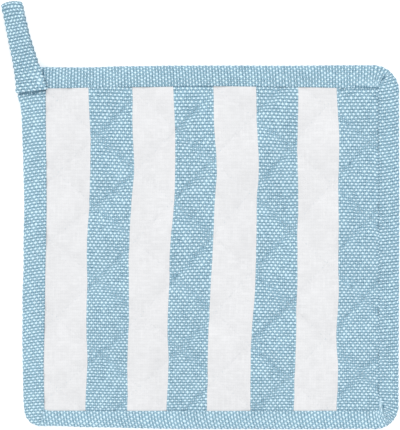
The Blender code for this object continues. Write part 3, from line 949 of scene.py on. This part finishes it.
def side_at(x, y, ring_side):
    """The side that every point of the binding belongs to, parted from the next side along the mitres."""
    side = np.repeat(ring_side[:, None], x.shape[1], axis=1)
    for k, mitre in enumerate(MITRES):
        way_x, way_y = mitre.x1 - mitre.x0, mitre.y1 - mitre.y0
        turned = way_x * (y - mitre.y0) - way_y * (x - mitre.x0)
        side = np.where(by_mitre(mitre, x, y), np.where(turned > 0.0, k, (k + 1) % 4), side)
    return side


def warps_across(x, y, side, place):
    """How far across the binding every point's warp lies. At some mitres the warps run straight on."""
    straight = np.take_along_axis(-side_insets(x, y), side[None], axis=0)[0]
    for mitre in MITRES:
        place = np.where(by_mitre(mitre, x, y), place + mitre.straight * (straight - place), place)
    return place


def binding_wefts(x, y, side):
    """The weft number of every point of the binding, from its place along its side and across it."""
    weft = np.zeros(x.shape)
    for k, weave in enumerate(BINDING_WEAVE):
        here = side == k
        along, out, length = side_place(k, x[here], y[here])
        out = np.maximum(out, 0.0)
        slant = np.interp(along / length, np.linspace(0.0, 1.0, len(weave.slants)), weave.slants)
        sloped = out * (STRAIGHT_SLANT + (1.0 - STRAIGHT_SLANT) * out / BINDING_WIDTH) * slant
        spread = (FAN_MIDDLE - out) / (np.maximum(out, FAN_INSIDE) + FAN_DEPTH)
        turn = fan_turn(weave.end_fan - (length - along)) - fan_turn(weave.start_fan - along)
        waves = WEFT_WAVES * wander(x[here], y[here], seed=0.7 + k)
        place = along + sloped + spread * turn + waves
        growth = (weave.end_pitch - weave.pitch) / length
        weft[here] = np.log1p(growth * place / weave.pitch) / growth
    return weft


def near_line(x, y, line):
    """1 on a short straight line, falling to 0 about two widths away."""
    way_x, way_y = line.x1 - line.x0, line.y1 - line.y0
    share = ((x - line.x0) * way_x + (y - line.y0) * way_y) / (way_x**2 + way_y**2)
    share = np.clip(share, 0.0, 1.0)
    return near(np.hypot(x - line.x0 - share * way_x, y - line.y0 - share * way_y), line.width)


def press_and_shade(x, y, side, across):
    """How far the binding's weave is pressed together and the shade painted on it, paler where pressed."""
    press, shade, crease = np.array([weave[-3:] for weave in BINDING_WEAVE]).T[:, side]
    pressed = sum(near_line(x, y, line) for line in PRESSED)
    # Painted shade along the tucks, the inner edge and the outer rim
    tucks = sum(line.shade * near_line(x, y, line) for line in TUCKS)
    inside = crease * near(across, INNER_EDGE_SHADE_WIDTH)
    rim = RIM_PAINTED_SHADE * near(BINDING_WIDTH - across, RIM_SHADE_WIDTH)
    return press + pressed, tucks + shade - PRESSED_LIGHT * pressed + inside + rim


def binding(material):
    """One strip folded over the pad's edge, all the way round, with its corners folded."""
    side_steps, corner_steps = BINDING_SIDE_STEPS, BINDING_CORNER_STEPS
    inner, outward, width = binding_rings(side_steps, corner_steps)
    across, height, warps, shown = binding_section()
    place = stretched(across, width[:, None])
    x, y = (inner[:, k : k + 1] + outward[:, k : k + 1] * place for k in range(2))
    side = side_at(x, y, np.arange(len(inner)) // (side_steps + corner_steps))
    weft = binding_wefts(x, y, side)
    warp = warps + (warps_across(x, y, side, place) - across) / WARP_PITCH
    beads = RIM_BEADS * np.cos(math.pi * weft) * near(width[:, None] - place, BEAD_REACH)
    x = x + outward[:, :1] * beads
    y = y + outward[:, 1:] * beads
    points = np.dstack([x, y, height + lift_at(x, y)])[::-1]
    outer_face = np.arange(len(across)) < shown
    tucks = sum(line.depth * near_line(x, y, line) for line in TUCKS)
    depth = (STRIP_RELIEF * (1.0 - thread_relief(warp, weft)) + tucks)[::-1] * outer_face
    points = points - grid_normals(points, True, True) * depth[..., None]
    threads = np.dstack([warp, weft, *press_and_shade(x, y, side, across)])[::-1]
    faces = grid_faces(len(inner), len(across), True, True)
    return add_object("edge_binding", points, faces, material, threads)


# ---- loop
def tape_course():
    """The tape's rings, from the turned-under end to the other.

    Each is a row of down, level, facing, left, right, rise and slant."""
    radius = (LEG_DROP - TAPE_THICK) / 2
    middle = LEG_DROP / 2
    step = TAPE_WEFT_PITCH / TAPE_STEPS_PER_WEFT
    front = np.array(FRONT_LEG)[::-1]
    back = np.array(BACK_LEG)
    front_down = np.arange(front[-1, 0], middle + 0.5 * step, -step)
    back_down = np.arange(middle + 0.5 * step, back[-1, 0], step)
    legs = []
    for down, table, facing in ((front_down, front, 0.0), (back_down, back, math.pi)):
        columns = [np.interp(down, table[:, 0], column) for column in table.T[1:]]
        level = np.full(len(down), middle + radius * math.cos(facing))
        legs.append(np.column_stack([down, level, np.full(len(down), facing), *columns]))
    turns = np.linspace(0.0, math.pi, int(math.pi * radius / step) + 1)
    shape = np.tile([FOLD_HALF_WIDTH, FOLD_HALF_WIDTH, 0.0, FOLD_SLANT], (len(turns), 1))
    fold = np.column_stack([middle - radius * np.sin(turns), middle + radius * np.cos(turns), turns, shape])
    return np.vstack([legs[0], fold, legs[1]])


def tape_section(left, right, rise):
    """The tape's section at one ring: places across, out of its middle, and warp numbers, once round."""
    half = TAPE_THICK / 2
    shares = np.linspace(0.0, 1.0, LOOP_WARPS * STEPS_PER_THREAD + 1)
    inner = TAPE_EDGE_ROUND
    face = -left + inner + shares * (left + right - 2 * inner)
    turns = np.radians(TAPE_EDGE_TURNS)
    right_edge = right - inner + inner * np.sin(turns)
    right_out = rise / 2 + (half + rise / 2) * np.cos(turns)
    left_edge = -left + inner - inner * np.sin(turns)
    across = np.concatenate([face, right_edge, face[::-1], left_edge])
    upper, lower = np.full(len(face), half + rise), np.full(len(face), -half)
    out = np.concatenate([upper, right_out, lower, right_out[::-1]])
    warps = np.concatenate([shares * LOOP_WARPS, LOOP_WARPS + turns, shares[::-1] * LOOP_WARPS, -turns])
    return across, out, warps


def tape_point(down, across):
    """The flat places of points of the loop, from how far they are down from the fold and across."""
    down_way = np.array([math.sin(LOOP_LEAN), -math.cos(LOOP_LEAN)])
    right_way = np.array([math.cos(LOOP_LEAN), math.sin(LOOP_LEAN)])
    return np.array(LOOP_FOLD) + np.outer(down, down_way) + np.outer(across, right_way)


def hanging_loop(material):
    """A tape that is sewn over the corner, runs out, folds back and ends under the corner."""
    points, threads = [], []
    for number, (down, level, facing, left, right, rise, slant) in enumerate(tape_course()):
        bead = TAPE_BEADS * math.cos(math.pi * number / TAPE_STEPS_PER_WEFT)
        across, out, warps = tape_section(left - bead, right + bead, rise)
        bow = FOLD_BOW * near(down, FOLD_REACH) * (1.0 - (across / FOLD_HALF_WIDTH) ** 2)
        drop = down - bow + slant * across - out * math.sin(facing)
        x, y = tape_point(drop, across).T
        points.append(np.column_stack([x, y, level + out * math.cos(facing)]))
        waves = TAPE_WAVES * wander(TAPE_WAVE_SCALE * x, TAPE_WAVE_SCALE * y, seed=4.1)
        # Painted shade over the loop and along its edges, less on its worn pale line
        rim = near(across + left, TAPE_RIM_WIDTH) + near(right - across, TAPE_RIM_WIDTH)
        crease = TAPE_PAINTED_SHADE + TAPE_RIM_SHADE * rim - LOOP_PALE_LIGHT * near_line(x, y, LOOP_PALE)
        weft = number / TAPE_STEPS_PER_WEFT + waves
        threads.append(np.column_stack([warps, weft, np.full(len(warps), TAPE_PRESS), crease]))
    points, threads = np.array(points), np.array(threads)
    depth = TAPE_RELIEF * (1.0 - thread_relief(threads[..., 0], threads[..., 1]))
    points = points - grid_normals(points, False, True) * depth[..., None]
    return add_object("loop", points, tube_faces(*points.shape[:2]), material, threads)


# ---- sewing
def stitch_rings(run, up):
    """Rings of points round the stitches along one polyline. Stitches dip into the cloth at their ends."""
    pitch = STITCH_LENGTH + STITCH_GAP
    angles = 2.0 * math.pi * np.arange(THREAD_SIDES) / THREAD_SIDES
    rise = np.array([0.0, 0.0, up])
    shape = np.array(STITCH_SHAPE)
    rings = []
    for start in np.arange(0.0, lengths_along(run)[-1] - pitch, pitch):
        middle = points_along(run, start + shape[:, 0] * STITCH_LENGTH)
        way = middle[-1] - middle[0]
        side = np.array([-way[1], way[0], 0.0]) * up / np.hypot(way[0], way[1])
        turned = np.outer(np.cos(angles), side) + np.outer(np.sin(angles), rise)
        for centre, (_, thick, dip) in zip(middle, shape):
            rings.append(centre + dip * rise + THREAD_RADIUS * thick * turned)
    return rings


def sewn(name, runs, up, material):
    """All stitches of several runs as one mesh."""
    rings = [ring for run in runs for ring in stitch_rings(run, up)]
    faces = []
    for first in range(0, len(rings), len(STITCH_SHAPE)):
        faces += tube_faces(len(STITCH_SHAPE), THREAD_SIDES, first * THREAD_SIDES)
    return add_object(name, rings, faces, material)


def quilting_runs(height_at):
    """The seams as polylines on one side of the pad, cut off at the binding."""
    runs = []
    x = QUILTING_X
    for row in RISING_SEAMS + FALLING_SEAMS:
        y = smooth_curve(SEAM_X, row, x)
        inside = inner_inset(x, y) > QUILTING_INSET
        if inside.sum() > QUILTING_SHORTEST:
            z = height_at(x, y) + lift_at(x, y)
            runs.append(np.column_stack([x, y, z])[inside])
    return runs


def topstitch_run(height):
    """The line of stitching round the binding, near its inner edge, on a face at this height."""
    inner, outward, _ = binding_rings(EDGE_SIDE_STEPS, EDGE_CORNER_STEPS)
    flat = inner + outward * TOPSTITCH_INSET
    flat = np.vstack([flat, flat[:1]])
    return np.column_stack([flat, height + lift_at(flat[:, 0], flat[:, 1])])


# ---- stage
FLOOR_SIZE = 6.0
FLOOR_WHITE = (0.95, 0.95, 0.95, 1.0)
FLOOR_ROUGHNESS = 0.9
FLOOR_GLOW = 0.25
KEY_PLACE = (-0.1, 1.1, 1.0)
KEY_SIZE = 0.8
KEY_POWER = 2.6
SKY_STRENGTH = 1.1


def floor():
    """A plain pale floor."""
    bpy.ops.mesh.primitive_plane_add(size=FLOOR_SIZE, location=(0.0, 0.0, 0.0))
    item = bpy.context.object
    item.name = "floor"
    material, graph, shader = new_material("floor_white")
    graph.fill(shader, {
        "Base Color": FLOOR_WHITE,
        "Roughness": FLOOR_ROUGHNESS,
        "Emission Color": FLOOR_WHITE,
        "Emission Strength": FLOOR_GLOW,
    })
    item.data.materials.append(material)


def light():
    """Even light from all round and a faint soft one from the top of the picture."""
    world = bpy.data.worlds.new("studio")
    world.use_nodes = True
    background = world.node_tree.nodes["Background"]
    background.inputs["Color"].default_value = (1.0, 1.0, 1.0, 1.0)
    background.inputs["Strength"].default_value = SKY_STRENGTH
    bpy.context.scene.world = world
    data = bpy.data.lights.new("key", "AREA")
    data.size = KEY_SIZE
    data.energy = KEY_POWER
    item = bpy.data.objects.new("key", data)
    item.location = KEY_PLACE
    item.rotation_euler = (-Vector(KEY_PLACE)).to_track_quat("-Z", "Y").to_euler()
    bpy.context.scene.collection.objects.link(item)
    bpy.context.scene.view_settings.view_transform = "Standard"


PHOTO_HEIGHT_PX = 430
MM_PER_PX = 0.54
CAMERA_LENS = 150.0
CAMERA_SENSOR = 36.0
CAMERA_Y = 0.16
FACE_HEIGHT = 4.0


def camera():
    """A long lens straight above the holder."""
    data = bpy.data.cameras.new("camera")
    data.lens = CAMERA_LENS
    data.sensor_width = CAMERA_SENSOR
    item = bpy.data.objects.new("camera", data)
    distance = PHOTO_HEIGHT_PX * MM_PER_PX * CAMERA_LENS / CAMERA_SENSOR
    item.location = (0.0, CAMERA_Y * MM, (FACE_HEIGHT + distance) * MM)
    bpy.context.scene.collection.objects.link(item)
    bpy.context.scene.camera = item


# ---- main
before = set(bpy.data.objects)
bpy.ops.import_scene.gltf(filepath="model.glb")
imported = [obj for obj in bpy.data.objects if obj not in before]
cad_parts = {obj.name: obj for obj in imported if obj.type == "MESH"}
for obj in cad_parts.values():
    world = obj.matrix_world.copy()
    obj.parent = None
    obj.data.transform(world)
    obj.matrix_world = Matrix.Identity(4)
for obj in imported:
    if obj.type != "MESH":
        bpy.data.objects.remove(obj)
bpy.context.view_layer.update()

camera()
light()
floor()

striped = weave_material("striped_weave", SOFT_WEAVE, True)
strip_weave = weave_material("strip_weave", RIBBED_WEAVE, False)
tape_weave = weave_material("tape_weave", SOFT_WEAVE, False)
quilting_thread = thread_material("quilting_thread", QUILTING_THREAD, QUILTING_THREAD_SHADE)
edge_thread = thread_material("edge_thread", EDGE_THREAD, EDGE_THREAD_SHADE)

pad = quilted_pad(striped)
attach(pad, BODY)
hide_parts("quilted_pad")

strip = binding(strip_weave)
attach(strip, BODY)
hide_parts("binding")

loop = hanging_loop(tape_weave)
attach(loop, BODY)
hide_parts("hanging_loop")

sewing = (
    sewn("quilting_top", quilting_runs(pad_top), 1.0, quilting_thread),
    sewn("quilting_underside", quilting_runs(pad_bottom), -1.0, quilting_thread),
    sewn("topstitch", [topstitch_run(TOPSTITCH_HEIGHT)], 1.0, edge_thread),
    sewn("topstitch_underside", [topstitch_run(BINDING_THICK - TOPSTITCH_HEIGHT)], -1.0, edge_thread),
)
for item in sewing:
    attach(item, BODY)
